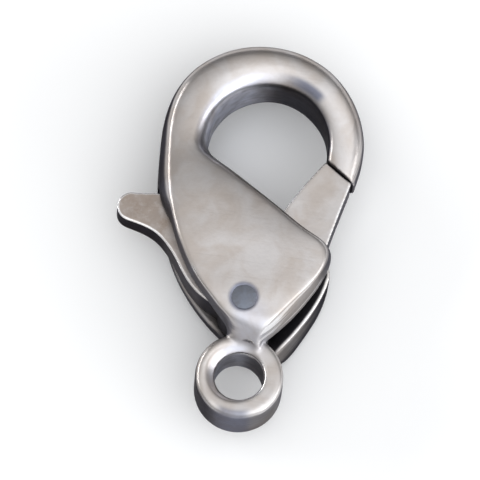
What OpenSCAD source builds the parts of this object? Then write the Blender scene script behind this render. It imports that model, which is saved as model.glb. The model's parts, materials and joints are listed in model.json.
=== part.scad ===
// Lobster clasp in polished stainless steel: a cast body with hook, cheeks, neck and ring,
// a sprung trigger that is thumb tab and gate in one, the pin it turns on and its leaf spring.
// The ring's centre is the origin, +Y runs to the hook, +X to the gate, +Z out of the front.

/* [Hook] */
// Outer radius of the hook
hook_r = 3.1; // [2.7:0.05:3.4]
// Distance from the ring's centre to the hook's centre
hook_y = 7.58; // [6.8:0.02:8.4]
// How far the hook's centre sits towards the tab
hook_shift = 0.28; // [0:0.02:0.5]
// Thickness of the hook
hook_t = 2.3; // [1.8:0.05:2.8]

/* [Eye] */
// Radius of the round of the eye, where a ring is hooked in
eye_r = 1.83; // [1.5:0.02:2]
// How far the eye's centre sits from the hook's centre towards the gate
eye_shift = 0.18; // [0:0.02:0.4]
// How far the eye's centre sits below the hook's centre
eye_drop = 0.1; // [0:0.02:0.3]

/* [Cheeks] */
// Thickness over both cheeks
belly_t = 3.4; // [3:0.05:4]
// Width of the slot between the cheeks
slot_w = 1.3; // [1:0.05:1.6]
// How far the slot's end on the back sits below the hook's centre
slot_drop = 1.94; // [1.8:0.02:2.2]
// Share of the thickness that the crowned faces lose towards their edges
crown = 0.1; // [0:0.01:0.2]

/* [Ring] */
// Radius of the ring's bore
bore_r = 0.75; // [0.6:0.01:0.9]
// Wall of the ring
ring_wall = 0.6; // [0.5:0.02:0.8]
// Thickness of the ring
ring_t = 1.75; // [1.4:0.05:2.2]

/* [Pin] */
// Radius of the pin
pin_r = 0.35; // [0.28:0.01:0.42]
// How far the pin's ends lie below the crown of the faces
pin_sink = 0.05; // [0.03:0.01:0.1]
// How far the pin sits towards the tab
pin_shift = 0.19; // [0:0.01:0.3]
// Distance from the ring's centre to the pin
pin_y = 2.25; // [2.15:0.01:2.5]

/* [Trigger] */
// Radius of the trigger's hub
hub_r = 0.75; // [0.6:0.01:0.8]
// Width of the gate where it meets the hook
gate_w = 1.04; // [0.9:0.02:1.1]
// How far the tab stands out past the back of the clasp
tab_out = 1.05; // [0.7:0.05:1.4]
// Height of the tab's round end
tab_h = 0.9; // [0.7:0.02:1]
// How far the tab's top lies below the slot's end on the back
tab_drop = 0.17; // [0.1:0.01:0.3]

/* [Spring] */
// Thickness of the leaf spring
spring_t = 0.14; // [0.1:0.01:0.2]

/* [Fits] */
// Gap between the pin and its holes in the cheeks
pin_fit = 0.01; // [0.01:0.005:0.03]
// Gap between the pin and the trigger's bore
turn_fit = 0.04; // [0.02:0.005:0.06]
// Gap between the trigger and whatever it moves past
move_gap = 0.06; // [0.04:0.01:0.1]
// Gap between the leaf spring and the wall that it lies on
spring_seat = 0.03; // [0.02:0.01:0.05]

/* [Hidden] */
$fn = 64;

hook_c = [-hook_shift, hook_y];
eye_c = hook_c + [eye_shift, -eye_drop];
pin_c = [-pin_shift, pin_y];
ring_r = bore_r + ring_wall;
pocket_r = norm([hook_c.x - hook_r, hook_y - slot_drop] - pin_c);
pocket_floor = pin_y - hub_r - move_gap;
trigger_t = slot_w - 2 * move_gap;

// Angles at which the hook ends, at the eye and at the outside, and at which its back ends
tip_in_a = -7;
tip_out_a = -18;
back_a = 178;
// Share of the hook's run from which it changes into its back, and what it has changed by there
back_from = 0.55;
back_swell = 0.25;
// How square the section's edges are: 2 is an ellipse, more is nearer to a rectangle
hook_square = 2.3;
back_square = 3.0;
// Rounding of the ring's rims as a share of its wall
ring_soft = 0.3;

tip_in = around(eye_c, eye_r, tip_in_a);
tip_way = unit(around(hook_c, hook_r, tip_out_a) - tip_in);
gate_in = tip_in + move_gap * [tip_way.y, -tip_way.x];
gate_out = gate_in + gate_w * tip_way;
gate_mid = (gate_in + gate_out) / 2;
tab_c = [hook_c.x - hook_r - tab_out + tab_h / 2, hook_y - slot_drop - tab_drop - tab_h / 2];

// Sections of the body from the hook's back down into the ring. The columns are the eye side
// and the back, each across as a share of hook_r and along as a share of hook_y, the thickness
// as a share of belly_t, and how square the edge is at the eye side and at the back.
ROWS = [
    [-0.600, 0.930, -1.087, 0.915, 0.79, 2.5, 3.6],
    [-0.371, 0.860, -1.065, 0.790, 0.87, 2.5, 4.6],
    [-0.113, 0.791, -1.012, 0.688, 0.94, 2.6, 5.4],
    [0.226, 0.703, -0.938, 0.594, 0.98, 2.8, 6.0],
    [0.523, 0.627, -0.847, 0.506, 1.00, 3.0, 6.0],
    [0.723, 0.567, -0.745, 0.430, 1.00, 3.4, 6.0],
    [0.750, 0.467, -0.627, 0.363, 1.00, 3.6, 5.8],
    [0.665, 0.352, -0.492, 0.301, 1.00, 3.6, 5.4],
    [0.553, 0.249, -0.347, 0.247, 0.97, 3.4, 4.6],
    [0.385, 0.176, -0.226, 0.206, 0.87, 3.0, 3.4],
    [0.226, 0.149, -0.181, 0.166, 0.70, 2.8, 2.8],
    [0.194, 0.113, -0.187, 0.127, 0.52, 2.8, 2.8]
];
// Outline of the trigger. Each row is a place along the arm, as a share of the way from the pin
// to the arm's end, and a place across it to the right, as a share of the arm's width.
GATE_OUTSIDE = [[0.10, 0.56], [0.29, 0.92], [0.50, 1.06], [0.635, 0.92]];
GATE_INSIDE = [[0.62, -0.66], [0.39, -0.60], [0.26, -0.60]];
TAB_TOP = [[0.28, 0.96], [0.466, 1.22], [0.744, 1.42], [0.92, 1.04], [1.00, 0.50]];
TAB_BELOW = [
    [1.00, -0.50], [0.776, -0.12], [0.634, -0.22], [0.477, -0.40], [0.276, -0.44], [0.1, -0.4]
];
// Bend of the leaf spring from its wall down to the gate's arm, in the same two shares
LEAF = [
    [0.577, -3.07], [0.602, -2.59], [0.59, -2.07], [0.545, -1.58], [0.479, -1.13],
    [0.41, -0.79], [0.37, -0.72]
];
// Angles round the pin between which the leaf lies on the pocket's wall
LEAF_ANGLES = [128:-4:116];
HOOK_STEPS = 9;
ROW_STEPS = 3;
SIDES = 32;

function around(c, r, a) = c + r * [cos(a), sin(a)];
function mix(a, b, t) = a * (1 - t) + b * t;
function unit(v) = v / norm(v);
function signed_pow(v, p) = sign(v) * pow(abs(v), p);

// One row of the hook: t runs from its tip, 0, round the top to its back, 1
function hook_row(t) = let (
    eye_side = around(eye_c, eye_r, mix(tip_in_a, back_a, t)),
    outside = around(hook_c, hook_r, mix(tip_out_a, back_a, t)),
    change = max(0, t - back_from) / (1 - back_from)
) [
    eye_side.x, eye_side.y, outside.x, outside.y,
    mix(hook_t, belly_t, back_swell * change) / 2, hook_square,
    mix(hook_square, back_square, change)
];

function body_row(r) = [
    r[0] * hook_r, r[1] * hook_y, r[2] * hook_r, r[3] * hook_y, r[4] * belly_t / 2, r[5], r[6]
];

// Rows with steps between them on one smooth curve through them all
function smooth(rows, steps) = [
    for (i = [0:len(rows) - 2]) let (
        a = rows[max(i - 1, 0)], b = rows[i], c = rows[i + 1], d = rows[min(i + 2, len(rows) - 1)]
    ) for (k = [0:steps - 1]) let (t = k / steps)
        (2 * b + (c - a) * t + (2 * a - 5 * b + 4 * c - d) * t * t
            + (3 * b - 3 * c + d - a) * t * t * t) / 2,
    rows[len(rows) - 1]
];

// Points beside the line from the pin to an arm's end
function along(rows, end, width) = let (
    way = end - pin_c,
    across = width * unit([way.y, -way.x])
) [for (r = rows) pin_c + way * r[0] + across * r[1]];

// Outline of a strip of one thickness along a path
function strip(path, thick) = let (
    last = len(path) - 1,
    normals = [
        for (k = [0:last]) let (way = unit(path[min(k + 1, last)] - path[max(k - 1, 0)]))
            [-way.y, way.x] * thick / 2
    ]
) concat(
    [for (k = [0:last]) path[k] + normals[k]],
    [for (k = [last:-1:0]) path[k] - normals[k]]
);

// One section of the body, from a row as the table has them but in millimetres
function section(row) = let (
    middle = [row[0] + row[2], row[1] + row[3]] / 2,
    half = [row[0] - row[2], row[1] - row[3]] / 2
) [
    for (k = [0:SIDES - 1]) let (
        a = 360 * (k + 0.5) / SIDES,
        power = 2 / (cos(a) > 0 ? row[5] : row[6]),
        u = signed_pow(cos(a), power),
        p = middle + half * u
    ) [p.x, p.y, row[4] * signed_pow(sin(a), power) * (1 - crown * u * u)]
];

module loft(rows) {
    last = len(rows) - 1;
    points = [for (row = rows) each section(row)];
    sides = [
        for (i = [0:last - 1]) for (k = [0:SIDES - 1]) let (
            a = i * SIDES + k, b = i * SIDES + (k + 1) % SIDES
        ) each [[a, a + SIDES, b], [b, a + SIDES, b + SIDES]]
    ];
    start = [for (k = [0:SIDES - 1]) k];
    end = [for (k = [SIDES - 1:-1:0]) last * SIDES + k];
    polyhedron(points, concat(sides, [start, end]));
}

module body() {
    rows = smooth(concat(
        [for (k = [0:HOOK_STEPS]) hook_row(k / HOOK_STEPS)],
        [for (r = ROWS) body_row(r)]
    ), ROW_STEPS);
    color([0.74, 0.71, 0.70]) difference() {
        union() {
            loft(rows);
            ring();
        }
        cylinder(r = bore_r, h = 2 * ring_t, center = true);
        translate(pin_c) cylinder(r = pin_r + pin_fit, h = 2 * belly_t, center = true);
        linear_extrude(slot_w, center = true) pocket();
    }
}

module ring() {
    soft = ring_soft * ring_wall;
    edge = [for (a = [0:22.5:90]) around([ring_r - soft, ring_t / 2 - soft], soft, a)];
    rotate_extrude() polygon(concat(
        [[bore_r / 2, -ring_t / 2]],
        [for (k = [len(edge) - 1:-1:0]) [edge[k].x, -edge[k].y]],
        edge,
        [[bore_r / 2, ring_t / 2]]
    ));
}

// Outline of the space between the cheeks: round about the pin, with a flat floor at the neck
module pocket() {
    difference() {
        translate(pin_c) circle(r = pocket_r);
        translate([-2 * pocket_r, pocket_floor - 2 * pocket_r]) square([4 * pocket_r, 2 * pocket_r]);
    }
}

module trigger() {
    color([0.76, 0.74, 0.73]) linear_extrude(trigger_t, center = true) difference() {
        union() {
            translate(pin_c) circle(r = hub_r);
            translate(tab_c) circle(r = tab_h / 2);
            polygon(concat(
                along(GATE_OUTSIDE, gate_mid, gate_w),
                [gate_out, gate_in],
                along(GATE_INSIDE, gate_mid, gate_w),
                along(TAB_TOP, tab_c, tab_h),
                along(TAB_BELOW, tab_c, tab_h)
            ));
        }
        translate(pin_c) circle(r = pin_r + turn_fit);
    }
}

module pin() {
    color([0.45, 0.47, 0.52]) translate(pin_c)
        cylinder(r = pin_r, h = belly_t - 2 * pin_sink, center = true);
}

module spring() {
    path = smooth(concat(
        [for (a = LEAF_ANGLES) around(pin_c, pocket_r - spring_seat - spring_t / 2, a)],
        along(LEAF, gate_mid, gate_w)
    ), ROW_STEPS);
    color([0.55, 0.55, 0.56]) linear_extrude(trigger_t - 2 * move_gap, center = true)
        polygon(strip(path, spring_t));
}

body();
trigger();
pin();
spring();
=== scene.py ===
# A lobster clasp in tumbled stainless steel, lying on a pale floor: the cast body with its hook,
# cheeks and ring, the sprung trigger, the pin that the trigger turns on and its leaf spring.

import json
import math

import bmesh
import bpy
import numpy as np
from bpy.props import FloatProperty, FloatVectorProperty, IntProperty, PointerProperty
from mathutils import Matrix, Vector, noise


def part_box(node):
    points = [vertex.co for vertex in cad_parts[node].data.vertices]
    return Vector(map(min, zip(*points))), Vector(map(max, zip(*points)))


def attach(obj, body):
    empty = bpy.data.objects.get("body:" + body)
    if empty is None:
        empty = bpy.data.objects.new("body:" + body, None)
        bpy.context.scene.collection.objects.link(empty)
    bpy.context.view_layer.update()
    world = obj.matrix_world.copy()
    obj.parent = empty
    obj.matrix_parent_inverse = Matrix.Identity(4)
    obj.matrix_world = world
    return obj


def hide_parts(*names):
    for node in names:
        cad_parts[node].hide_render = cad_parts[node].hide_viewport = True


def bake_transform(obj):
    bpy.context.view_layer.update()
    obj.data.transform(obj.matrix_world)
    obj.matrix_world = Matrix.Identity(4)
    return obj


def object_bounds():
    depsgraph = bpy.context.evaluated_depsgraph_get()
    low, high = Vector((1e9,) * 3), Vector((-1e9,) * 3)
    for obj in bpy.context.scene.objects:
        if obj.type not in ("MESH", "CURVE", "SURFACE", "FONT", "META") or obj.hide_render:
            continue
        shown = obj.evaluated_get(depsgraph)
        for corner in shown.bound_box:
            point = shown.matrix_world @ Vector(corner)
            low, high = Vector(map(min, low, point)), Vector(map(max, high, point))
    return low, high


bl_info = {
    "name": "Lobster Clasp",
    "version": (1, 0, 0),
    "blender": (4, 5, 0),
    "location": "3D View > Sidebar > Clasp",
    "description": "Casts, presses and finishes a sprung lobster clasp around its working parts",
    "category": "Object",
}

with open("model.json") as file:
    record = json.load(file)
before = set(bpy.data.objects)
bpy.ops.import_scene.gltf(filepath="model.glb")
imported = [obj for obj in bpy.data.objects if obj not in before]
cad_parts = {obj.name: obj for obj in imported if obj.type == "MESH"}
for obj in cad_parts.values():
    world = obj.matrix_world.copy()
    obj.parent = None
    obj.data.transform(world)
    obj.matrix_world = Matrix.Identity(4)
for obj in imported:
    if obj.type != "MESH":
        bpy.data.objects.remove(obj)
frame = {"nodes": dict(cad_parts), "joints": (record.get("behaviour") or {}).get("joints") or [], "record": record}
CAD_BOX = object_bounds()

# Meshes are shaped in millimetres, where the mesh tools work best, and put into metres at the end
MM = 1000.0


def node_box(node):
    """Lowest and highest corner of a working part, in millimetres."""
    low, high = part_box(node)
    return low * MM, high * MM


BODY_LOW, BODY_HIGH = node_box("body")
TRIGGER_LOW, TRIGGER_HIGH = node_box("trigger")
PIN_LOW, PIN_HIGH = node_box("pin")
SPRING_LOW, SPRING_HIGH = node_box("spring")
HINGE = frame["joints"][0]
PIN_CENTRE = np.array(HINGE["pos_m"][:2]) * MM
PIN_RADIUS = (PIN_HIGH.x - PIN_LOW.x) / 2
HUB_RADIUS = PIN_CENTRE[1] - TRIGGER_LOW.y
RING_RADIUS = -BODY_LOW.y
BORE = frame["record"]["mounts"][0]["dims"]

# Sections of the body from the hook's back down into the ring. The columns are the eye side and
# the back, each across as a share of the hook's radius and along as a share of its distance from
# the ring, the half thickness as a share of the cheeks', how far the eye side and the back lean
# in by their top as shares of the hook's radius, and how sharp the two edges are. The last two,
# also in that share, are how far the front cheek's eye side stands in by the slot, and how far
# that side leans in by the back face.
BODY_ROWS = [
    [-0.600, 0.930, -1.087, 0.915, 0.79, 0.11, 0.08, 9, 20, 0.00, 0.06],
    [-0.371, 0.860, -1.065, 0.790, 0.87, 0.10, 0.09, 14, 34, 0.00, 0.07],
    [-0.113, 0.791, -1.012, 0.688, 0.94, 0.08, 0.09, 20, 40, 0.00, 0.08],
    [0.226, 0.703, -0.938, 0.594, 0.98, 0.08, 0.08, 26, 40, 0.00, 0.08],
    [0.523, 0.627, -0.847, 0.506, 1.00, 0.09, 0.08, 32, 40, 0.00, 0.08],
    [0.723, 0.567, -0.745, 0.430, 1.00, 0.07, 0.08, 36, 40, 0.00, 0.06],
    [0.745, 0.467, -0.627, 0.363, 1.00, 0.09, 0.07, 36, 40, 0.05, 0.03],
    [0.670, 0.352, -0.492, 0.301, 1.00, 0.20, 0.07, 36, 36, 0.11, 0.03],
    [0.553, 0.249, -0.347, 0.247, 0.98, 0.26, 0.06, 36, 30, 0.15, 0.03],
    [0.415, 0.157, -0.226, 0.206, 0.88, 0.25, 0.05, 26, 20, 0.18, 0.03],
    [0.300, 0.112, -0.181, 0.166, 0.64, 0.15, 0.03, 12, 10, 0.12, 0.03],
    [0.248, 0.094, -0.194, 0.141, 0.51, 0.04, 0.02, 6, 6, 0.03, 0.02],
]
# Edges of the trigger, each point as a share of the way from the pin to an arm's end and as a
# share of the arm's width across it
GATE_OUTSIDE = [[0.10, 0.56], [0.29, 0.92], [0.50, 1.06], [0.635, 0.92]]
GATE_INSIDE = [[0.62, -0.66], [0.39, -0.60], [0.26, -0.60]]
TAB_TOP = [[0.28, 0.96], [0.466, 1.22], [0.744, 1.42], [0.92, 1.02], [0.99, 0.70], [1.055, 0.40]]
TAB_BELOW = [
    [0.96, -0.46], [0.872, -0.27], [0.768, -0.13], [0.657, -0.17], [0.55, -0.32], [0.45, -0.52],
    [0.276, -0.70], [0.10, -0.58],
]
# Bend of the leaf spring from its wall down to the gate's arm, in the same two shares, and the
# angles round the pin between which it lies on the wall
LEAF = [
    [0.577, -3.07], [0.602, -2.59], [0.59, -2.07], [0.545, -1.58], [0.479, -1.13],
    [0.41, -0.79], [0.37, -0.72],
]
LEAF_ANGLES = [128, 124, 120, 116]

# Angles in degrees at which the hook ends, at the eye and at the outside, and where its back ends
TIP_INSIDE = -7
TIP_OUTSIDE = -18
BACK = 178
# Share of the hook's run from which it swells into its back, and how much it swells by there
SWELL_FROM = 0.55
SWELL = 0.25
# Share of its thickness that the hook keeps at its tip, and over what share of its run it thins
TIP_THIN = 0.64
TIP_RUN = 0.3
# How sharp the hook's edges are, at the eye and outside, and the outside at its back
EYE_SHARP = 9.0
OUTSIDE_SHARP = 3.4
BACK_SHARP = 12.0
# Share of its thickness that the hook loses towards the eye, at the top of its run
EYE_CROWN = 0.3
# How far the eye side and the outside lean in by the back, in millimetres
EYE_LEAN = 0.3
BACK_LEAN = 0.2
# How many sections the hook's run has, and how many steps the curves take from one to the next
HOOK_ROWS = 10
BODY_STEPS = 10
TRIGGER_STEPS = 8
LEAF_STEPS = 5
# How many points go round the body, a turned solid, the slot's arc and a quarter of a rounded rim
BODY_SIDES = 240
TURNED_SIDES = 96
SLOT_SIDES = 120
RIM_SIDES = 8
# How far the front cheek's back wall is cut in under its rim, over the tab's arm, in millimetres
UNDERCUT = 0.22
# Mesh of the trigger as a share of the body's, and how many passes more it is tumbled
TRIGGER_GRAIN = 0.65
TRIGGER_PASSES = 2
# Share of its thickness that the tab keeps at its end, and how far from the pin it starts to thin
TAB_THIN = 0.72
TAB_FROM = 1.0
# Play of the trigger's bore round the pin, in millimetres
BORE_PLAY = 0.04
# The pin's ends: how far they spread past it, stand out in the middle and fall to the rim, and
# half the plain length between them
DOME_SPREAD = 0.08
DOME_RISE = 0.025
DOME_FALL = 0.05
SHANK = 1.5
# Waves of the faces, as pairs of how many go to a millimetre and their share of the wander
BODY_WAVES = [(0.7, 1.0), (1.9, 0.4)]
TRIGGER_WAVES = [(0.9, 1.0), (2.5, 0.5)]
# Rows of a radius and a height of the dish that a jump ring has rubbed in the bore's rim, and
# where its middle is
DISH = [[0.05, 0.25], [0.40, 0.48], [0.93, 0.88], [1.03, 1.0], [1.25, 1.8]]
RUB_CENTRE = (-0.13, 0.05)
# How much the cheeks' faces rise at the pin for each millimetre across and along
FACE_RISE = np.array([0.06, 0.06])
# Angles round the pin between which the slot reaches out, and half the neck that stays below it
SLOT_FROM = -36
SLOT_TO = 212
NECK = 0.72

# Bands that the finish follows, as their middle and how far to each side of it they start to fade
# and are gone. Round the eye, in degrees: where its wall gets painted pale light, and where it
# gets painted shade
EYE_PAINTED_LIGHT = (145, 25, 65)
EYE_PAINTED_SHADE = (40, 40, 80)
# Round the pin: the front cheek's side towards the gate, which gets a painted sheen
CHEEK_PAINTED_SHEEN = (-25, 45, 60)
# Round the ring's bore: where the ring's side gets painted shade, a violet painted shade and a
# painted sheen, where the bore gets painted pale light and where its rim gets a painted sheen
RING_PAINTED_SHADE = (-154, 20, 52)
RING_PAINTED_VIOLET_SHADE = (-92, 12, 32)
RING_PAINTED_SHEEN = (-45, 20, 38)
BORE_PAINTED_LIGHT = (140, 40, 80)
RIM_PAINTED_SHEEN = (140, 70, 90)
# Out from the eye's centre, in millimetres: the part with painted pale light, and the smear on the
# hook
PAINTED_LIGHT_OUT = (1.94, 0.14, 0.36)
SMEAR_OUT = (2.1, 0.05, 0.22)
# Along the clasp: the neck, and where the front cheek is cut in
NECK_ALONG = (1.5, 0.35, 0.95)
CUT_ALONG = (3.3, 1.1, 2.1)
# Across the clasp: the neck, without its middle, which leans towards the pin
NECK_ACROSS = (0.2, 0.75)
# Angles round the eye at which the smear is full and gone, at its two ends
SMEAR_START = (52, 44)
SMEAR_END = (64, 96)
# How wide the rim of the ring's bore is, in millimetres, over which the bore gets painted pale
# light and a painted sheen
RIM_WIDE = 0.3

# Share of the light that the steel gives back at a glancing angle
GLANCING = (0.35, 0.35, 0.36, 1.0)
# Tints of the cloudy patches that tumbling leaves
WARM_PATCH = (0.885, 0.85, 0.82, 1.0)
COOL_PATCH = (1.04, 1.06, 1.09, 1.0)
BLACK = (0.0, 0.0, 0.0, 1.0)
# Tint of the painted pale light on the eye's wall, the ring's bore and the neck
PAINTED_PALE_LIGHT = (0.80, 0.82, 0.93, 1.0)
# Tint of the painted shade on the tab
PAINTED_TAB_SHADE = (0.64, 0.58, 0.53, 1.0)
# How near other steel has to be, in metres, for a point to get painted shade as in a recess
SHADE_REACH = 0.0015
# Depth in metres of the finest marks
RELIEF = 0.00001
# Share by which fine marks darken the steel, and how much rougher dull steel and marks are than
# clean faces, and how much smoother bright edges are
GRIME = 0.07
DULL_ROUGH = 0.14
MARKS_ROUGH = 0.10
BRIGHT_SMOOTH = 0.08

# The floor's size in metres
FLOOR_RADIUS = 1.0
FLOOR_DEPTH = 0.001
# Where the sky is brightest, as degrees round from the front and up, and how far on the way there
# from the other side it has which colour
SKY_WAY = (35, 62)
SKY = [
    (0.0, (0.20, 0.20, 0.21)),
    (0.2, (0.30, 0.30, 0.30)),
    (0.45, (0.60, 0.60, 0.60)),
    (0.72, (1.06, 1.06, 1.06)),
    (0.92, (1.5974, 1.63, 1.6626)),
    (1.0, (1.75, 1.78, 1.82)),
]
# What the camera sees of the sky past the floor
BACKDROP = (0.9, 0.9, 0.9, 1.0)
# How far the lamps hang from the clasp, in metres
LAMP_DISTANCE = 0.35


def length(name, description, millimetres):
    """A length that the maker may change, kept in metres."""
    return FloatProperty(
        name=name, description=description, default=millimetres / MM,
        min=0.0, unit="LENGTH", subtype="DISTANCE", precision=5,
    )


def angle(name, description, degrees):
    return FloatProperty(
        name=name, description=description, default=math.radians(degrees), unit="ROTATION",
        subtype="ANGLE",
    )


def share(name, description, value):
    return FloatProperty(
        name=name, description=description, default=value, min=0.0, max=1.0, subtype="FACTOR",
    )


def colour(name, description, value):
    return FloatVectorProperty(
        name=name, description=description, default=value, size=3, min=0.0, max=1.0,
        subtype="COLOR",
    )


class ClaspSizes(bpy.types.PropertyGroup):
    """Sizes of the clasp that its working parts don't already give"""

    hook_radius: length("Hook radius", "Outer radius of the hook", 3.1)
    hook_shift: length("Hook shift", "How far the hook sits towards the tab", 0.28)
    hook_thickness: length("Hook thickness", "Thickness of the hook", 2.3)
    eye_radius: length("Eye radius", "Radius of the round of the eye", 1.83)
    eye_shift: length("Eye shift", "How far the eye sits from the hook's centre to the gate", 0.18)
    eye_drop: length("Eye drop", "How far the eye sits below the hook's centre", 0.1)
    cheek_thickness: length("Cheek thickness", "Thickness over both cheeks", 3.37)
    crown: share("Crown", "Share of the thickness that the faces lose towards their edges", 0.1)
    slot_drop: length("Slot drop", "How far the slot's end is below the hook's centre", 1.94)
    rim_rounding: length("Rim rounding", "Rounding of the ring's rims", 0.19)
    gate_width: length("Gate width", "Width of the gate where it meets the hook", 1.04)
    tab_reach: length("Tab reach", "How far the tab stands out past the back", 1.05)
    tab_height: length("Tab height", "Height of the tab's round end", 0.9)
    tab_drop: length("Tab drop", "How far the tab's top is below the slot's end", 0.17)
    running_gap: length("Running gap", "Gap between the trigger and what it moves past", 0.06)
    spring_thickness: length("Spring thickness", "Thickness of the leaf spring", 0.14)
    spring_seat: length("Spring seat", "Gap between the leaf and its wall", 0.03)
    grain: length("Skin size", "Size of the cast skin's mesh, which also softens edges", 0.052)
    wander: length("Wander", "How far the hand-finished faces wander from true", 0.008)
    softening: IntProperty(
        name="Softening", description="Passes of tumbling that round the edges over",
        default=3, min=0, max=40,
    )


class ClaspColours(bpy.types.PropertyGroup):
    """Colours of the clasp's finishes, with the shade and highlights painted on it"""

    face: colour("Face", "Steel where it is polished", (0.555, 0.522, 0.503))
    # The wall colour is partly a duller finish on walls and partly painted shade
    wall: colour("Wall", "Steel on walls, which tumbling hardly reaches", (0.125, 0.121, 0.137))
    # The recess colour is painted shade deep in slots and holes
    recess_shade: colour("Recess", "Steel deep in slots and holes", (0.030, 0.029, 0.033))
    # The edge colour is partly worn bright edges and partly painted highlights on edges and on sheened walls
    edge: colour("Edge", "Steel on edges that are worn bright", (0.90, 0.88, 0.87))
    # The stain colour is real staining round the pin, on the neck and on the hook, and painted shade on the ring's
    # side
    stain: colour("Stain", "Steel stained round the pin and on the neck", (0.20, 0.205, 0.25))
    pin: colour("Pin", "Dull end of the pin", (0.185, 0.20, 0.235))
    spring: colour("Spring", "Bare spring steel", (0.24, 0.235, 0.24))


class ClaspStage(bpy.types.PropertyGroup):
    """The floor, the lights and the camera"""

    floor: colour("Floor", "Colour of the floor", (0.95, 0.95, 0.95))
    azimuth: angle("Azimuth", "Way round that the camera stands", 2)
    elevation: angle("Elevation", "Height of the camera over the floor, as an angle", 72)
    roll: angle("Roll", "How far the clasp leans clockwise in the picture", 6)
    distance: length("Distance", "From the camera to the clasp", 305)
    fill: share("Fill", "Share of the picture's height that the clasp takes", 0.8)


def round_point(centre, radius, degrees):
    """The point at an angle on a circle."""
    turn = math.radians(degrees)
    return np.array(centre) + radius * np.array([math.cos(turn), math.sin(turn)])


def arc(centre, radius, start, end, count):
    return [round_point(centre, radius, a) for a in np.linspace(start, end, count)]


def unit(vector):
    return vector / np.linalg.norm(vector)


def mix(low, high, part):
    return low * (1 - part) + high * part


def steady_curve(points, steps):
    """Points on one curve with no sudden change of bend through all of these, so many steps to
    each. A row may hold more than a place or two, which are its first four numbers at most."""
    points = np.array(points, float)
    gaps = np.linalg.norm(np.diff(points[:, :4], axis=0), axis=1)
    links = np.eye(len(points))
    pulls = np.zeros_like(points)
    for k in range(1, len(points) - 1):
        before, after = gaps[k - 1], gaps[k]
        links[k, k - 1:k + 2] = [before, 2 * (before + after), after]
        pulls[k] = 6 * ((points[k + 1] - points[k]) / after - (points[k] - points[k - 1]) / before)
    bends = np.linalg.solve(links, pulls)
    curve = []
    for k, gap in enumerate(gaps):
        for step in range(steps):
            t = step / steps
            s = 1 - t
            curve.append(
                s * points[k] + t * points[k + 1]
                + ((s**3 - s) * bends[k] + (t**3 - t) * bends[k + 1]) * gap**2 / 6
            )
    return np.array(curve + [points[-1]])


def beside(rows, end, width):
    """Points beside the line from the pin to an arm's end, from their shares along and across."""
    way = end - PIN_CENTRE
    across = width * unit(np.array([way[1], -way[0]]))
    return [PIN_CENTRE + way * along + across * out for along, out in rows]


def skin(name, rings):
    """A closed mesh over a run of rings of points, with its two ends filled, as an object."""
    count, sides = rings.shape[:2]
    index = np.arange(count * sides).reshape(count, sides)
    here, after = index[:-1], index[1:]
    quads = np.stack([here, after, np.roll(after, -1, 1), np.roll(here, -1, 1)], axis=-1)
    faces = quads.reshape(-1, 4).tolist() + [index[0].tolist(), index[-1][::-1].tolist()]
    mesh = bpy.data.meshes.new(name)
    mesh.from_pydata(rings.reshape(-1, 3).tolist(), [], faces)
    made = bmesh.new()
    made.from_mesh(mesh)
    bmesh.ops.recalc_face_normals(made, faces=made.faces)
    made.to_mesh(mesh)
    made.free()
    piece = bpy.data.objects.new(name, mesh)
    bpy.context.scene.collection.objects.link(piece)
    return piece


def turned(name, profile, centre=(0.0, 0.0)):
    """A solid turned on a lathe along Z, from rows of a radius and a height."""
    turn = 2 * np.pi * np.arange(TURNED_SIDES) / TURNED_SIDES
    circle = np.column_stack([np.cos(turn), np.sin(turn)])
    rings = [
        np.column_stack([np.array(centre) + radius * circle, np.full(TURNED_SIDES, height)])
        for radius, height in profile
    ]
    return skin(name, np.array(rings))


def slab(name, outline, thickness):
    """A flat plate of one outline, half above and half below the middle plane."""
    flat = np.array(outline)
    return skin(name, np.array([
        np.column_stack([flat, np.full(len(flat), side * thickness / 2)]) for side in (-1, 1)
    ]))


def settle(piece):
    """Keeps the mesh that the piece's modifiers make, and drops the modifiers."""
    bpy.context.view_layer.update()
    shaped = piece.evaluated_get(bpy.context.evaluated_depsgraph_get())
    rough, piece_mesh = piece.data, bpy.data.meshes.new_from_object(shaped)
    piece.modifiers.clear()
    piece.data = piece_mesh
    bpy.data.meshes.remove(rough)


def worked(piece, other, way):
    """The piece joined with or cut by another solid, which is used up."""
    step = piece.modifiers.new("work", "BOOLEAN")
    step.operation = way
    step.solver = "EXACT"
    step.object = other
    settle(piece)
    bpy.data.objects.remove(other)


def tumble(piece, size, passes):
    """One skin over the whole piece, with its edges rounded over by the given passes."""
    cast = piece.modifiers.new("skin", "REMESH")
    cast.mode = "VOXEL"
    cast.voxel_size = size
    soft = piece.modifiers.new("soften", "SMOOTH")
    soft.factor = 0.5
    soft.iterations = passes
    settle(piece)


def rows_of(items, name):
    """What each of a mesh's items has by that name, as rows of three numbers."""
    numbers = np.empty(len(items) * 3)
    items.foreach_get(name, numbers)
    return numbers.reshape(-1, 3)


def points_of(mesh):
    return rows_of(mesh.vertices, "co")


def normals_of(mesh):
    return rows_of(mesh.vertex_normals, "vector")


def move_points(mesh, places):
    mesh.vertices.foreach_set("co", places.ravel())


def neighbours_mean(mesh, values, passes):
    """Each point's value as the mean of its neighbours', passed on a number of times."""
    ends = np.empty(len(mesh.edges) * 2, np.int32)
    mesh.edges.foreach_get("vertices", ends)
    a, b = ends.reshape(-1, 2).T
    count = np.bincount(np.concatenate([a, b]), minlength=len(values)).astype(float)
    for _ in range(passes):
        columns = [
            np.bincount(a, c[b], len(values)) + np.bincount(b, c[a], len(values))
            for c in values.reshape(len(values), -1).T
        ]
        values = (np.array(columns) / count).T.reshape(values.shape)
    return values


def thinned(mesh, full, end, part):
    """Thins the mesh towards one end, from its full thickness at x = full to a part of it."""
    places = points_of(mesh)
    places[:, 2] *= mix(part, 1, faded(places[:, 0], full, end))
    move_points(mesh, places)


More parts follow.
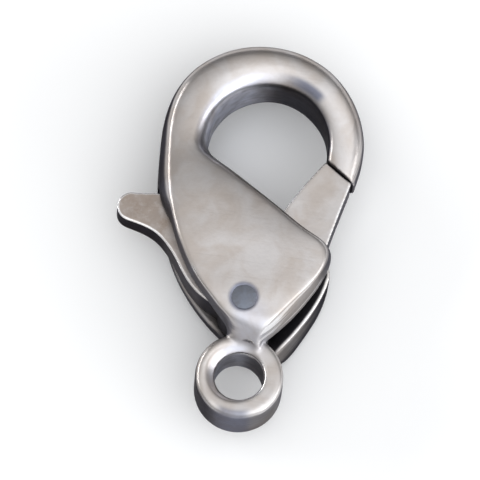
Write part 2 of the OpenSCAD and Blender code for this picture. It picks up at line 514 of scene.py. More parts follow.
def waver(mesh, depth, waves):
    """Moves the faces in and out a little, as hand finishing leaves them."""
    places = points_of(mesh)
    lift = np.zeros(len(places))
    for often, part in waves:
        lift += [part * noise.noise(Vector(p) * often) for p in places]
    move_points(mesh, places - normals_of(mesh) * (depth * np.abs(lift))[:, None])


def mark_worn_and_highlit_edges(mesh, full, part):
    """Keeps how far each point stands out of its surroundings, from 0 on a flat face to a part of
    1 on an edge, for the finish to brighten, partly as worn edges and partly as painted highlights."""
    places = points_of(mesh)
    out = ((places - neighbours_mean(mesh, places, 2)) * normals_of(mesh)).sum(axis=1)
    keep(mesh, "edge", np.clip(neighbours_mean(mesh, out, 2) / full, 0, 1) * part)


def keep(mesh, name, values):
    """Keeps a number at each point of the mesh, for the finish to read."""
    numbers = mesh.attributes.new(name, "FLOAT", "POINT").data
    numbers.foreach_set("value", values.astype(np.float32))


def faded(values, full, none):
    """From 1 where a value is full or past it, smoothly to 0 where it is none or past that."""
    part = np.clip((none - values) / (none - full), 0, 1)
    return part * part * (3 - 2 * part)


def band(values, middle, full, none):
    """From 1 by a middle value down to 0 away from it on both sides."""
    return faded(np.abs(values - middle), full, none)


def band_round(angles, middle, full, none):
    """The same for angles in degrees, the shorter way round."""
    return faded(np.abs((angles - middle + 180) % 360 - 180), full, none)


def round_from(places, centre):
    """Each point's angle round a centre, in degrees, and its distance from it."""
    away = places[:, :2] - centre
    return np.degrees(np.arctan2(away[:, 1], away[:, 0])), np.linalg.norm(away, axis=1)


def mark_stains_and_painted_light(mesh):
    """Keeps where the body's steel is stained, with painted shade on the ring's side among the
    stains, where it gets painted pale light, and where it gets a painted sheen.
    """
    places = points_of(mesh)
    across, along, height = places.T
    round_pin, from_pin = round_from(places, PIN_CENTRE)
    round_eye, from_eye = round_from(places, eye_centre())
    round_bore, from_bore = round_from(places, (0.0, 0.0))

    neck_line = mix(0.2, PIN_CENTRE[0], (along - 1) / PIN_CENTRE[1])
    neck = band(along, *NECK_ALONG) * band(across, neck_line, *NECK_ACROSS)
    ring_wall = faded(from_bore, RING_RADIUS + 0.05, RING_RADIUS + 0.1)
    ring_wall *= faded(from_bore, RING_RADIUS - 0.15, RING_RADIUS - 0.3)

    spot = faded(from_pin, PIN_RADIUS * 1.15, PIN_RADIUS * 1.5)
    smear = faded(round_eye, *SMEAR_START) * faded(round_eye, *SMEAR_END)
    smear *= band(from_eye, *SMEAR_OUT)
    # Painted shade: a violet-dark band on the ring's side towards the front, kept with the stains
    ring_shade = ring_wall * band_round(round_bore, *RING_PAINTED_VIOLET_SHADE)
    keep(mesh, "stain", np.max([spot, 0.15 * neck, smear, 0.8 * ring_shade], axis=0))

    # Painted pale light on the eye's wall, the bore and the neck
    in_eye = band_round(round_eye, *EYE_PAINTED_LIGHT) * band(from_eye, *PAINTED_LIGHT_OUT)
    in_bore = band_round(round_bore, *BORE_PAINTED_LIGHT)
    in_bore *= faded(from_bore, BORE["r_mm"] + 0.1, BORE["r_mm"] + RIM_WIDE)
    keep(mesh, "rubbed", np.max([in_eye, 0.7 * in_bore, 0.45 * neck], axis=0))

    # Painted sheen on the front cheek's side by the gate, the bore's rim, the ring's side and the neck
    by_gate = band_round(round_pin, *CHEEK_PAINTED_SHEEN) * faded(from_pin, 1.1, 0.9)
    by_gate *= faded(height, 0.75, 0.6)
    rim = band_round(round_bore, *RIM_PAINTED_SHEEN) * faded(height, 0.6, 0.5)
    rim *= from_bore < BORE["r_mm"] + RIM_WIDE
    ring_side = ring_wall * band_round(round_bore, *RING_PAINTED_SHEEN)
    keep(mesh, "buffed", np.max([by_gate, rim, 0.45 * ring_side, 0.5 * neck], axis=0))


def mark_painted_shade(mesh, half, reach):
    """Keeps where the body gets painted shade: most on the walls of the slot, half its width
    from the middle and within its reach of the pin, then on the outside of the back cheek, the
    eye's wall by the hook's end and one side of the ring."""
    places = points_of(mesh)
    across, along, height = places.T
    upright = np.abs(normals_of(mesh)[:, 2])
    from_pin = round_from(places, PIN_CENTRE)[1]
    round_eye, from_eye = round_from(places, eye_centre())
    round_bore, from_bore = round_from(places, (0.0, 0.0))

    inside = faded(np.abs(height), half + 0.02, half + 0.09) * (from_pin < reach)
    inside *= 1 - 0.45 * faded(across, -1.2, -0.6) * faded(along, 3.0, 4.2)
    outside = faded(height, -half - 0.15, -half) * faded(upright, 0.75, 0.9)
    eye_wall = band_round(round_eye, *EYE_PAINTED_SHADE) * faded(upright, 0.4, 0.8)
    eye_wall *= from_eye < sizes().eye_radius * MM + 0.1
    past_ring = from_bore > RING_RADIUS + 0.05
    ring_side = band_round(round_bore, *RING_PAINTED_SHADE) * faded(upright, 0.5, 0.8)
    ring_side *= (from_bore > BORE["r_mm"] + RIM_WIDE) * (1 - past_ring)
    soot = np.max([inside, 0.75 * outside, 0.6 * eye_wall], axis=0) * past_ring
    keep(mesh, "soot", np.maximum(soot, 0.7 * ring_side))


def edges_less_bright(mesh):
    """How much less the body's edges are brightened, as worn edges and painted highlights: on the
    underside on the tab's side, at the hook's tip and, by half, at its back."""
    hook = sizes()
    places = points_of(mesh)
    across, along, height = places.T
    underside = faded(across, -0.9, -0.3) * (height < 0)
    tip = mix(hook.eye_radius, hook.hook_radius, 0.6) * MM
    from_tip = np.linalg.norm(places[:, :2] - round_point(eye_centre(), tip, TIP_INSIDE), axis=1)
    by_back = faded(across, -1.9, -1.2) * faded(along, 5.6, 4.6)
    return np.max([underside, faded(from_tip, 0.9, 1.3), 0.5 * by_back], axis=0)


def mark_trigger(mesh):
    """Keeps the painted shade on the tab, the worn and highlighted edges, and the painted shade on
    the arm's walls and the hub.
    """
    across = points_of(mesh)[:, 0]
    upright = np.abs(normals_of(mesh)[:, 2])
    tab_part = faded(across, slot_end()[0] - 0.2, PIN_CENTRE[0] - TAB_FROM)
    keep(mesh, "patina", tab_part)
    mark_worn_and_highlit_edges(mesh, 0.004, mix(0.65, 1, tab_part))
    hidden = faded(across, 0.2, 0.9) * faded(across, -1.3, -1.9)
    wall = faded(upright, 0.4, 0.7) * (0.3 + 0.5 * faded(across, -3.1, -2.6))
    keep(mesh, "soot", np.maximum(wall * faded(across, -1.8, -1.2), 0.7 * hidden))


def finished(piece, body, node, material):
    """Puts the piece into metres and its finish on, in place of its plain working part."""
    piece.data.transform(Matrix.Scale(1 / MM, 4))
    piece.data.shade_smooth()
    piece.data.materials.clear()
    piece.data.materials.append(material)
    if body:
        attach(piece, body)
    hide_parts(node)


def sizes():
    return bpy.context.scene.clasp_sizes


def hook_centre():
    hook = sizes()
    return np.array([-hook.hook_shift * MM, BODY_HIGH.y - hook.hook_radius * MM])


def eye_centre():
    hook = sizes()
    return hook_centre() + MM * np.array([hook.eye_shift, -hook.eye_drop])


def slot_end():
    """The point on the back where the slot between the cheeks ends."""
    hook = sizes()
    return hook_centre() - MM * np.array([hook.hook_radius, hook.slot_drop])


def slot_radius():
    return np.linalg.norm(slot_end() - PIN_CENTRE)


def tab_centre():
    """The centre of the tab's round end."""
    hook = sizes()
    half = hook.tab_height / 2
    return slot_end() - MM * np.array([hook.tab_reach - half, hook.tab_drop + half])


def gate_end(gap):
    """The two corners of the gate's end, at the eye and outside, that gap from the hook's end."""
    hook = sizes()
    inner = round_point(eye_centre(), hook.eye_radius * MM, TIP_INSIDE)
    outer = round_point(hook_centre(), hook.hook_radius * MM, TIP_OUTSIDE)
    way = unit(outer - inner)
    inside = inner + gap * np.array([way[1], -way[0]])
    return inside, inside + hook.gate_width * MM * way


def hook_row(part):
    """One section of the hook: part runs from its tip, 0, round the top to its back, 1."""
    hook = sizes()
    inside = round_point(eye_centre(), hook.eye_radius * MM, mix(TIP_INSIDE, BACK, part))
    outside = round_point(hook_centre(), hook.hook_radius * MM, mix(TIP_OUTSIDE, BACK, part))
    change = max(0, part - SWELL_FROM) / (1 - SWELL_FROM)
    half = mix(hook.hook_thickness, hook.cheek_thickness, SWELL * change) * MM / 2
    half *= mix(TIP_THIN, 1, min(1, part / TIP_RUN))
    sharp = mix(OUTSIDE_SHARP, BACK_SHARP, change**2)
    crown = mix(hook.crown, EYE_CROWN, math.sin(math.pi * part) ** 2)
    leans = EYE_LEAN * change**2, BACK_LEAN * change**3
    return [*inside, *outside, half, *leans, EYE_SHARP, sharp, 0, leans[0], crown]


def body_rings():
    """Rings of points over the body, from the hook's tip to inside the ring."""
    hook = sizes()
    across, along = hook.hook_radius * MM, hook_centre()[1]
    thick = hook.cheek_thickness * MM / 2
    scale = [across, along, across, along, thick, across, across, 1, 1, across, across, hook.crown]
    rows = [hook_row(k / (HOOK_ROWS - 1)) for k in range(HOOK_ROWS)]
    rows = steady_curve(rows + [np.multiply([*row, 1], scale) for row in BODY_ROWS], BODY_STEPS)
    (
        eye_x, eye_y, back_x, back_y, half, eye_lean, back_lean, eye_sharp, back_sharp, lip,
        under_lean, eye_crown,
    ) = rows.T[:, :, None]
    eye, back = np.dstack([eye_x, eye_y]), np.dstack([back_x, back_y])
    turn = 2 * np.pi * (np.arange(BODY_SIDES) + 0.5) / BODY_SIDES
    out, up = np.cos(turn), np.sin(turn)
    by_eye = out > 0
    sharp = np.where(by_eye, eye_sharp, back_sharp)
    reach = (np.abs(out) ** sharp + np.abs(up) ** sharp) ** (-1 / sharp)
    out, up = out * reach, up * reach
    by_face = np.where(up > 0, (eye_lean - lip) * up**4, under_lean * up**6)
    step_in = lip * faded(up, -0.1, -0.95)
    under = UNDERCUT * band(back_y, *CUT_ALONG) * faded(up, 0.3, 0.0) * (1 - up**4)
    lean = np.where(by_eye, step_in + by_face, back_lean * up**6 + under)
    out = out * (1 - 2 * np.maximum(lean, 0) / np.linalg.norm(eye - back, axis=-1))
    flat = (eye + back) / 2 + (eye - back) / 2 * out[..., None]
    height = half * up * (1 - np.where(by_eye, eye_crown, hook.crown) * out**2)
    return np.dstack([flat, height])


def mirrored(top):
    """A whole profile from its upper half, which the lower half mirrors."""
    return [(reach, -height) for reach, height in top[::-1]] + top


def rounded_disc(radius, half, rounding):
    """Profile of a disc whose rims are rounded over."""
    return mirrored(arc((radius - rounding, half - rounding), rounding, 0, 90, RIM_SIDES))


def flared_hole(radius, half, flare, deep, over):
    """Profile of a cutter for a hole whose rims flare out, from that deep in."""
    rim = [
        (radius + flare * (1 - math.cos(a)), half - deep * (1 - math.sin(a)))
        for a in np.linspace(0, math.pi / 2, RIM_SIDES)
    ]
    return mirrored(rim + [(radius + flare, half + over)])


class CastBody(bpy.types.Operator):
    """Casts the hook, cheeks, neck and ring as one body, and cuts the slot and holes in it"""

    bl_idname = "clasp.cast_body"
    bl_label = "Cast Body"

    def execute(self, context):
        hook = context.scene.clasp_sizes
        body = skin("cast_body", body_rings())
        floor = TRIGGER_LOW.y - hook.running_gap * MM
        outer = arc(PIN_CENTRE, slot_radius(), SLOT_FROM, SLOT_TO, SLOT_SIDES)
        slot = outer + [(-NECK, outer[-1][1]), (-NECK, floor), (NECK, floor), (NECK, outer[0][1])]
        slot_width = TRIGGER_HIGH.z - TRIGGER_LOW.z + 2 * hook.running_gap * MM
        worked(body, slab("slot", slot, slot_width), "DIFFERENCE")
        ring = rounded_disc(RING_RADIUS, BORE["length_mm"] / 2, hook.rim_rounding * MM)
        worked(body, turned("ring", ring), "UNION")
        bore = flared_hole(BORE["r_mm"], BORE["length_mm"] / 2, flare=0.08, deep=0.1, over=1.0)
        worked(body, turned("bore", bore), "DIFFERENCE")
        for side in (-1, 1):
            dish = [(reach, side * height) for reach, height in DISH]
            worked(body, turned("dish", dish, RUB_CENTRE), "DIFFERENCE")
        hole = mirrored([(PIN_RADIUS, BODY_HIGH.z * 2)])
        worked(body, turned("pin_hole", hole, PIN_CENTRE), "DIFFERENCE")
        tumble(body, hook.grain * MM, hook.softening)
        waver(body.data, hook.wander * MM, BODY_WAVES)
        mark_worn_and_highlit_edges(body.data, 0.009, 1 - 0.7 * edges_less_bright(body.data))
        mark_stains_and_painted_light(body.data)
        mark_painted_shade(body.data, slot_width / 2, slot_radius() + 0.1)
        finished(body, "clasp", "body", tumbled_steel())
        return {"FINISHED"}


class PressTrigger(bpy.types.Operator):
    """Presses the trigger, which is thumb tab, hub and gate in one"""

    bl_idname = "clasp.press_trigger"
    bl_label = "Press Trigger"

    def execute(self, context):
        hook = context.scene.clasp_sizes
        width, tall = hook.gate_width * MM, hook.tab_height * MM
        inside, outside = gate_end(hook.running_gap * MM / 2)
        gate, tab = (inside + outside) / 2, tab_centre()
        edges = [
            beside(GATE_OUTSIDE, gate, width) + [outside],
            [inside] + beside(GATE_INSIDE, gate, width),
            beside(TAB_TOP, tab, tall),
            beside(TAB_BELOW, tab, tall),
        ]
        thick = TRIGGER_HIGH.z - TRIGGER_LOW.z
        outline = np.concatenate([steady_curve(edge, TRIGGER_STEPS) for edge in edges])
        trigger = slab("pressed_trigger", outline, thick)
        for name, centre, radius in (("end", tab, tall / 2), ("hub", PIN_CENTRE, HUB_RADIUS)):
            disc = rounded_disc(radius, thick / 2, 0.02)
            worked(trigger, turned(name, disc, centre), "UNION")
        hole = mirrored([(PIN_RADIUS + BORE_PLAY, thick)])
        worked(trigger, turned("hub_hole", hole, PIN_CENTRE), "DIFFERENCE")
        tumble(trigger, hook.grain * MM * TRIGGER_GRAIN, hook.softening + TRIGGER_PASSES)
        thinned(trigger.data, PIN_CENTRE[0] - TAB_FROM, TRIGGER_LOW.x, TAB_THIN)
        waver(trigger.data, hook.wander * MM, TRIGGER_WAVES)
        mark_trigger(trigger.data)
        finished(trigger, "trigger", "trigger", tumbled_steel())
        return {"FINISHED"}


class SetPin(bpy.types.Operator):
    """Sets the pin, with its ends spread into low domes that close the holes"""

    bl_idname = "clasp.set_pin"
    bl_label = "Set Pin"

    def execute(self, context):
        dome = [
            ((PIN_RADIUS + DOME_SPREAD) * part, PIN_HIGH.z + DOME_RISE - DOME_FALL * part * part)
            for part in np.linspace(1.0, 0.2, 6)
        ]
        pin = turned("rivet_pin", mirrored([(PIN_RADIUS, SHANK)] + dome), PIN_CENTRE)
        places = points_of(pin.data)
        ends = np.abs(places[:, 2]) > SHANK
        rise = (places[ends, :2] - PIN_CENTRE) @ FACE_RISE
        places[ends, 2] += np.sign(places[ends, 2]) * rise
        move_points(pin.data, places)
        finished(pin, "clasp", "pin", pin_steel())
        return {"FINISHED"}


class BendSpring(bpy.types.Operator):
    """Bends the leaf spring, which lies on the slot's wall and pushes on the gate's arm"""

    bl_idname = "clasp.bend_spring"
    bl_label = "Bend Spring"

    def execute(self, context):
        hook = context.scene.clasp_sizes
        thick = hook.spring_thickness * MM
        gate = np.mean(gate_end(hook.running_gap * MM), axis=0)
        wall = slot_radius() - hook.spring_seat * MM - thick / 2
        on_wall = [round_point(PIN_CENTRE, wall, a) for a in LEAF_ANGLES]
        path = steady_curve(on_wall + beside(LEAF, gate, hook.gate_width * MM), LEAF_STEPS)
        run = np.gradient(path, axis=0)
        side = np.column_stack([-run[:, 1], run[:, 0]]) / np.linalg.norm(run, axis=1)[:, None]
        outline = [*(path + side * thick / 2), *(path - side * thick / 2)[::-1]]
        spring = slab("leaf_spring", outline, SPRING_HIGH.z - SPRING_LOW.z)
        edge = spring.modifiers.new("edge", "BEVEL")
        edge.width = 0.02
        edge.segments = 2
        settle(spring)
        finished(spring, None, "spring", spring_steel())
        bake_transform(spring)
        return {"FINISHED"}


def effect(name, colours, numbers, results):
    """A new node group with its inputs and results, of which Color is a colour."""
    group = bpy.data.node_groups.new(name, "ShaderNodeTree")
    for kind, sockets in (("NodeSocketColor", colours), ("NodeSocketFloat", numbers)):
        for label, value in sockets.items():
            socket = group.interface.new_socket(label, in_out="INPUT", socket_type=kind)
            socket.default_value = value
    for label in results:
        kind = "NodeSocketColor" if label == "Color" else "NodeSocketFloat"
        group.interface.new_socket(label, in_out="OUTPUT", socket_type=kind)
    given, wanted = group.nodes.new("NodeGroupInput"), group.nodes.new("NodeGroupOutput")
    return group, given.outputs, wanted.inputs


def add(tree, kind, links=(), **settings):
    """A node with its settings, and its inputs linked to or set from what is given for each."""
    node = tree.nodes.new(kind)
    for name, value in settings.items():
        setattr(node, name, value)
    for socket, source in dict(links).items():
        if isinstance(source, bpy.types.NodeSocket):
            tree.links.new(source, node.inputs[socket])
        else:
            node.inputs[socket].default_value = source
    return node


def worked_out(tree, way, *values):
    """The result of one operation on numbers."""
    return add(tree, "ShaderNodeMath", enumerate(values), operation=way).outputs[0]


def plus(tree, a, b):
    return worked_out(tree, "ADD", a, b)


def minus(tree, a, b):
    return worked_out(tree, "SUBTRACT", a, b)


def times(tree, a, b):
    return worked_out(tree, "MULTIPLY", a, b)


def most(tree, a, b):
    return worked_out(tree, "MAXIMUM", a, b)


def without(tree, value, part):
    """The value with a part of it, from 0 to 1, taken away."""
    return minus(tree, value, times(tree, value, part))


def between(tree, value, low, high, start=0.0, end=1.0):
    """The value spread smoothly from start, at low, to end, at high."""
    spread = {"Value": value, "From Min": low, "From Max": high, "To Min": start, "To Max": end}
    node = add(tree, "ShaderNodeMapRange", spread, interpolation_type="SMOOTHSTEP")
    return node.outputs["Result"]


def blended(tree, part, low, high, way="MIX"):
    """Two colours mixed by a part from 0 to 1. The node takes colours at its sockets 6 and 7."""
    sources = {0: part, 6: low, 7: high}
    return add(tree, "ShaderNodeMix", sources, data_type="RGBA", blend_type=way).outputs[2]


def kept(tree, name):
    """A number that was kept at each point of the mesh."""
    return add(tree, "ShaderNodeAttribute", attribute_name=name).outputs["Fac"]


def in_millimetres(tree, stretch=(1.0, 1.0, 1.0), turn=0.0):
    """Places on the piece in millimetres, turned about Z and stretched."""
    place = tree.nodes.new("ShaderNodeTexCoord").outputs["Object"]
    move = {"Vector": place, "Rotation": (0.0, 0.0, turn), "Scale": [MM * s for s in stretch]}
    return add(tree, "ShaderNodeMapping", move, vector_type="POINT").outputs["Vector"]


def patches(tree, often, detail, rough, stretch=(1.0, 1.0, 1.0), turn=0.0, swirl=0.0):
    """Random patches over the piece, from 0 to 1, about so many to a millimetre."""
    recipe = {
        "Vector": in_millimetres(tree, stretch, turn), "Scale": often, "Detail": detail,
        "Roughness": rough, "Distortion": swirl,
    }
    return add(tree, "ShaderNodeTexNoise", recipe).outputs["Fac"]


def grain_effect():
    """Fine marks of tumbling: cloudy patches, small pits and hair scratches in three ways."""
    name = "Tumbled grain"
    if name in bpy.data.node_groups:
        return bpy.data.node_groups[name]
    numbers = {"Patch Size": 1.0, "Pits": 1.0, "Scratches": 1.0}
    group, given, wanted = effect(name, {}, numbers, ("Cloud", "Marks", "Height"))
    cloud = between(group, patches(group, given["Patch Size"], 5.0, 0.55, swirl=0.6), 0.3, 0.7)
    pits = times(group, between(group, patches(group, 9.0, 3.0, 0.6), 0.35, 0.7), given["Pits"])
    hairs = 0.0
    for turn in (0.35, 1.35, 2.45):
        lines = patches(group, 1.0, 2.0, 0.5, stretch=(0.45, 16.0, 3.0), turn=turn)
        hairs = plus(group, hairs, between(group, lines, 0.60, 0.72))
    hairs = times(group, hairs, given["Scratches"])
    marks = times(group, plus(group, hairs, pits), 0.5)
    height = minus(group, times(group, pits, 0.6), times(group, hairs, 0.35))
    for label, value in (("Cloud", cloud), ("Marks", marks), ("Height", height)):
        group.links.new(value, wanted[label])
    return group


def dull_and_shaded_walls(tree, facing, upright, buffed):
    """How dull and how shaded the steel is. Walls are duller and darker than faces, partly as a real
    duller finish and partly as painted shade, and are painted lighter where they face the top of
    the hook, the gate's side or the ring, or have a painted sheen."""
    # Painted light: walls facing the gate's side, the top of the hook or the ring are painted lighter
    to_gate = times(tree, most(tree, facing["X"], 0.0), 0.3)
    to_hook = times(tree, most(tree, facing["Y"], 0.0), 0.4)
    to_ring = times(tree, most(tree, times(tree, facing["Y"], -1.0), 0.0), 0.2)
    lit_side = most(tree, plus(tree, to_gate, to_ring), to_hook)
    polish = between(tree, plus(tree, upright, lit_side), 0.50, 0.72)
    polish = most(tree, most(tree, polish, times(tree, buffed, 0.85)), to_ring)
    return minus(tree, 1.0, polish)


def painted_shade_depth(tree, depth, facing, dull_and_shaded, buffed, bright):
    """How much painted shade the steel gets: in the depths of slots and holes from ambient
    occlusion, where painted shade was kept and no edge is brightened, and on the wall on the tab's
    side, more so towards the hook."""
    # Painted shade in slots and holes, from ambient occlusion
    occlusion = add(tree, "ShaderNodeAmbientOcclusion", {"Distance": depth}, samples=8)
    soot = without(tree, kept(tree, "soot"), bright)
    deep = most(tree, between(tree, occlusion.outputs["AO"], 0.60, 0.20), soot)
    along = add(tree, "ShaderNodeSeparateXYZ", {0: in_millimetres(tree)}).outputs["Y"]
    # Painted shade on the walls that face the tab's side, more so towards the hook
    shaded_tab_side = times(tree, between(tree, facing["X"], -0.5, -0.95), dull_and_shaded)
    shaded_tab_side = times(tree, shaded_tab_side, between(tree, along, 4.2, 6.0, 0.15, 0.65))
    return most(tree, without(tree, deep, buffed), shaded_tab_side)


def wear_and_painted_light_effect():
    """The steel's colour from where it is polished, dull, stained or worn bright, with painted
    shade, painted pale light, painted sheen and painted highlights, and how dull and how bright it
    is, for its polish."""
    name = "Wear by place"
    if name in bpy.data.node_groups:
        return bpy.data.node_groups[name]
    colours = dict.fromkeys(("Face", "Wall", "Recess", "Edge", "Stain"), BLACK)
    results = ("Color", "Dull", "Bright")
    group, given, wanted = effect(name, colours, {"Depth": SHADE_REACH}, results)
    normal = group.nodes.new("ShaderNodeTexCoord").outputs["Normal"]
    facing = add(group, "ShaderNodeSeparateXYZ", {0: normal}).outputs
    upright = worked_out(group, "ABSOLUTE", facing["Z"])
    buffed = kept(group, "buffed")
    # Edges brightened, partly as worn edges and partly as painted highlights
    bright = between(group, kept(group, "edge"), 0.35, 0.9)
    dull_and_shaded = dull_and_shaded_walls(group, facing, upright, buffed)
    deep = painted_shade_depth(group, given["Depth"], facing, dull_and_shaded, buffed, bright)
    # Walls take the darker wall colour, partly a duller finish and partly painted shade
    steel = blended(group, dull_and_shaded, given["Face"], given["Wall"])

    # Painted shade on the tab, mottled
    mottle = between(group, patches(group, 2.2, 6.0, 0.75), 0.3, 0.7, 0.6, 1.35)
    patina = times(group, kept(group, "patina"), mottle)
    steel = blended(group, patina, steel, blended(group, 1.0, steel, PAINTED_TAB_SHADE, "MULTIPLY"))

    # Painted pale light on the eye's wall, the ring's bore and the neck, speckled
    speckle = between(group, patches(group, 2.6, 1.0, 0.5), 0.3, 0.7, 0.6, 0.9)
    rubbed = times(group, kept(group, "rubbed"), speckle)
    steel = blended(group, rubbed, steel, PAINTED_PALE_LIGHT)
    dull_and_shaded = without(group, dull_and_shaded, rubbed)

    # Fine dark lines run round the walls and, less so, the slopes towards the gate
    lines = patches(group, 1.0, 1.0, 0.5, stretch=(0.3, 0.3, 11.0))
    wall = between(group, upright, 0.60, 0.48)
    to_side = between(group, facing["X"], 0.1, 0.4, 0.0, 0.45)
    slope = times(group, between(group, upright, 0.99, 0.93), to_side)
    lined = times(group, between(group, lines, 0.46, 0.56, 0.0, 0.5), most(group, wall, slope))
    lined = without(group, lined, most(group, rubbed, times(group, buffed, 0.7)))
    steel = blended(group, lined, steel, given["Wall"])

    # Between the lines a wall with a strong painted sheen gets a painted highlight as bright as an edge
    strong_sheen = between(group, buffed, 0.5, 0.8)
    painted_highlight = times(group, between(group, lines, 0.48, 0.42), strong_sheen)
    bright = most(group, bright, times(group, painted_highlight, wall))
    steel = blended(group, bright, steel, given["Edge"])

    # Stains, with painted shade on the ring's side among them, then painted shade in the depths
    stain = kept(group, "stain")
    steel = blended(group, stain, steel, given["Stain"])
    steel = blended(group, deep, steel, given["Recess"])
    for label, value in zip(results, (steel, most(group, dull_and_shaded, stain), bright)):
        group.links.new(value, wanted[label])
    return group


def opaque(rgb):
    return (*rgb, 1.0)


def steel(name, face, wall, rough, patch, pits, scratches, bump):
    """A steel with its own grain, wear, painted light and shade, and polish, made once."""
    if name in bpy.data.materials:
        return bpy.data.materials[name]
    paint = bpy.context.scene.clasp_colours
    material = bpy.data.materials.new(name)
    material.use_nodes = True
    tree = material.node_tree
    metal = tree.nodes["Principled BSDF"]
    metal.inputs["Metallic"].default_value = 1.0
    metal.inputs["Specular Tint"].default_value = GLANCING
    marks = {"Patch Size": patch, "Pits": pits, "Scratches": scratches}
    grain = add(tree, "ShaderNodeGroup", marks, node_tree=grain_effect()).outputs
    colours = {
        "Face": opaque(face), "Wall": opaque(wall), "Recess": opaque(paint.recess_shade),
        "Edge": opaque(paint.edge), "Stain": opaque(paint.stain),
    }
    wear = add(tree, "ShaderNodeGroup", colours, node_tree=wear_and_painted_light_effect()).outputs

    patchy = blended(tree, grain["Cloud"], WARM_PATCH, COOL_PATCH)
    patchy = blended(tree, times(tree, grain["Marks"], GRIME), patchy, BLACK)
    base = blended(tree, 1.0, wear["Color"], patchy, "MULTIPLY")
    tree.links.new(base, metal.inputs["Base Color"])

    polish = plus(tree, rough, times(tree, wear["Dull"], DULL_ROUGH))
    polish = plus(tree, polish, times(tree, grain["Marks"], MARKS_ROUGH))
    polish = minus(tree, polish, times(tree, wear["Bright"], BRIGHT_SMOOTH))
    tree.links.new(polish, metal.inputs["Roughness"])

    relief = {"Strength": bump, "Distance": RELIEF, "Height": grain["Height"]}
    bumps = add(tree, "ShaderNodeBump", relief).outputs["Normal"]
    tree.links.new(bumps, metal.inputs["Normal"])
    return material


def tumbled_steel():
    """Steel with a soft polish, as on the body and the trigger."""
    paint = bpy.context.scene.clasp_colours
    return steel(
        "Tumbled steel", paint.face, paint.wall, rough=0.30, patch=0.9, pits=0.6, scratches=0.5,
        bump=0.2,
    )


def pin_steel():
    paint = bpy.context.scene.clasp_colours
    return steel(
        "Dull pin steel", paint.pin, paint.wall, rough=0.45, patch=3.0, pits=0.8, scratches=0.3,
        bump=0.25,
    )


def spring_steel():
    paint = bpy.context.scene.clasp_colours
    return steel(
        "Spring steel", paint.spring, paint.spring, rough=0.32, patch=2.0, pits=0.5,
        scratches=1.2, bump=0.4,
    )


def look_from(azimuth, elevation):
    """The way from the clasp to a point at that azimuth, round from the front, and height."""
    return Vector((
        math.sin(azimuth) * math.cos(elevation),
        -math.cos(azimuth) * math.cos(elevation),
        math.sin(elevation),
    ))


def softbox(name, azimuth, elevation, width, height, shine, tint=(1.0, 1.0, 1.0)):
    """A soft lamp of an even brightness, shine, that faces the clasp. Angles are in degrees."""
    lamp = bpy.data.lights.new(name, "AREA")
    lamp.shape = "RECTANGLE"
    lamp.size, lamp.size_y = width, height
    lamp.energy = shine * math.pi * width * height
    lamp.color = tint
    holder = bpy.data.objects.new(name, lamp)
    bpy.context.scene.collection.objects.link(holder)
    back = look_from(math.radians(azimuth), math.radians(elevation))
    holder.location = back * LAMP_DISTANCE
    holder.rotation_mode = "QUATERNION"
    holder.rotation_quaternion = back.to_track_quat("Z", "Y")


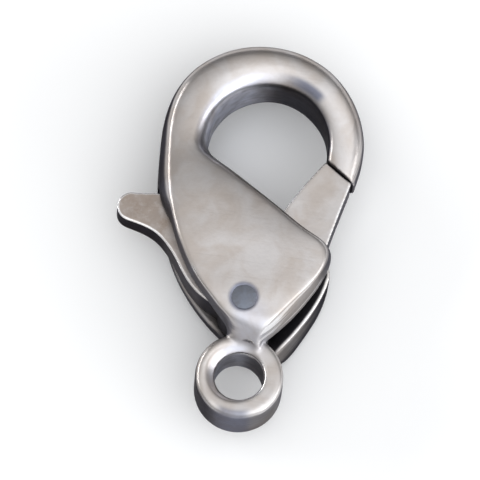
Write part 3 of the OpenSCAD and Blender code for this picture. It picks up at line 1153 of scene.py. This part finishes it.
class SetStage(bpy.types.Operator):
    """Lays the floor, hangs the lights and stands the camera where the picture is taken from"""

    bl_idname = "clasp.set_stage"
    bl_label = "Set Stage"

    def execute(self, context):
        stage = context.scene.clasp_stage
        self.lay_floor(stage)
        self.hang_lights(context.scene)
        self.stand_camera(context.scene, stage)
        return {"FINISHED"}

    def lay_floor(self, stage):
        floor = turned("floor", [(FLOOR_RADIUS, -FLOOR_DEPTH), (FLOOR_RADIUS, 0.0)])
        floor.data.transform(Matrix.Translation((0.0, 0.0, CAD_BOX[0].z)))
        paper = bpy.data.materials.new("Pale paper")
        paper.use_nodes = True
        surface = paper.node_tree.nodes["Principled BSDF"].inputs
        surface["Roughness"].default_value = 0.9
        surface["Specular IOR Level"].default_value = 0.1
        surface["Base Color"].default_value = opaque(stage.floor)
        floor.data.materials.append(paper)

    def hang_lights(self, scene):
        world = bpy.data.worlds.new("Studio")
        scene.world = world
        world.use_nodes = True
        tree = world.node_tree
        sky = tree.nodes["Background"]
        way = tree.nodes.new("ShaderNodeTexCoord").outputs["Generated"]
        front = look_from(*map(math.radians, SKY_WAY))
        towards = add(tree, "ShaderNodeVectorMath", {0: way, 1: front}, operation="DOT_PRODUCT")
        ramp = add(tree, "ShaderNodeValToRGB", {0: towards.outputs["Value"]})
        ramp.color_ramp.interpolation = "EASE"
        stops = ramp.color_ramp.elements
        stops[0].color, stops[-1].color = opaque(SKY[0][1]), opaque(SKY[-1][1])
        for place, tint in SKY[1:-1]:
            stops.new(place).color = opaque(tint)
        seen = tree.nodes.new("ShaderNodeLightPath").outputs["Is Camera Ray"]
        glow = blended(tree, seen, ramp.outputs["Color"], BACKDROP)
        tree.links.new(glow, sky.inputs["Color"])
        softbox(
            "Right", azimuth=74, elevation=17, width=0.34, height=0.18, shine=1.8,
            tint=(0.98, 0.99, 1.0),
        )
        softbox("Left", azimuth=-110, elevation=26, width=0.30, height=0.05, shine=7.0)

    def stand_camera(self, scene, stage):
        back = look_from(stage.azimuth, stage.elevation)
        right = Vector((math.cos(stage.azimuth), math.sin(stage.azimuth), 0.0))
        up = back.cross(right)
        turn, lean = math.cos(stage.roll), math.sin(stage.roll)
        right, up = turn * right + lean * up, turn * up - lean * right
        corners = np.concatenate([points_of(node.data) for node in frame["nodes"].values()])
        spans = [corners @ np.array(way) for way in (right, up, back)]
        middle = [(span.min() + span.max()) / 2 for span in spans]
        target = right * middle[0] + up * middle[1] + back * middle[2]
        view = np.ptp(spans[1]) / stage.fill
        lens = bpy.data.cameras.new("Camera")
        lens.sensor_width = 36.0
        lens.lens = lens.sensor_width * stage.distance / view
        lens.clip_start = 0.01
        lens.clip_end = 10.0
        camera = bpy.data.objects.new("Camera", lens)
        scene.collection.objects.link(camera)
        facing = Matrix((right, up, back)).transposed().to_4x4()
        camera.matrix_world = Matrix.Translation(target + back * stage.distance) @ facing
        scene.camera = camera
        scene.view_settings.view_transform = "Standard"


class ClaspPanel(bpy.types.Panel):
    """Lists the clasp's sizes, colours and making steps"""

    bl_idname = "CLASP_PT_making"
    bl_label = "Lobster Clasp"
    bl_space_type = "VIEW_3D"
    bl_region_type = "UI"
    bl_category = "Clasp"

    def draw(self, context):
        for title, kind in GROUPS.items():
            box = self.layout.box()
            box.label(text=title.replace("_", " ").capitalize())
            for name in kind.__annotations__:
                box.prop(getattr(context.scene, title), name)
        for step in STEPS:
            self.layout.operator(step.bl_idname)


STEPS = (CastBody, PressTrigger, SetPin, BendSpring, SetStage)
GROUPS = {"clasp_sizes": ClaspSizes, "clasp_colours": ClaspColours, "clasp_stage": ClaspStage}


def register():
    for kind in (*GROUPS.values(), *STEPS, ClaspPanel):
        bpy.utils.register_class(kind)
    for name, kind in GROUPS.items():
        setattr(bpy.types.Scene, name, PointerProperty(type=kind))


def unregister():
    for name in GROUPS:
        delattr(bpy.types.Scene, name)
    for kind in (ClaspPanel, *reversed(STEPS), *reversed(GROUPS.values())):
        bpy.utils.unregister_class(kind)


def main():
    register()
    bpy.ops.clasp.cast_body()
    bpy.ops.clasp.press_trigger()
    bpy.ops.clasp.set_pin()
    bpy.ops.clasp.bend_spring()
    bpy.ops.clasp.set_stage()


if __name__ == "__main__":
    main()
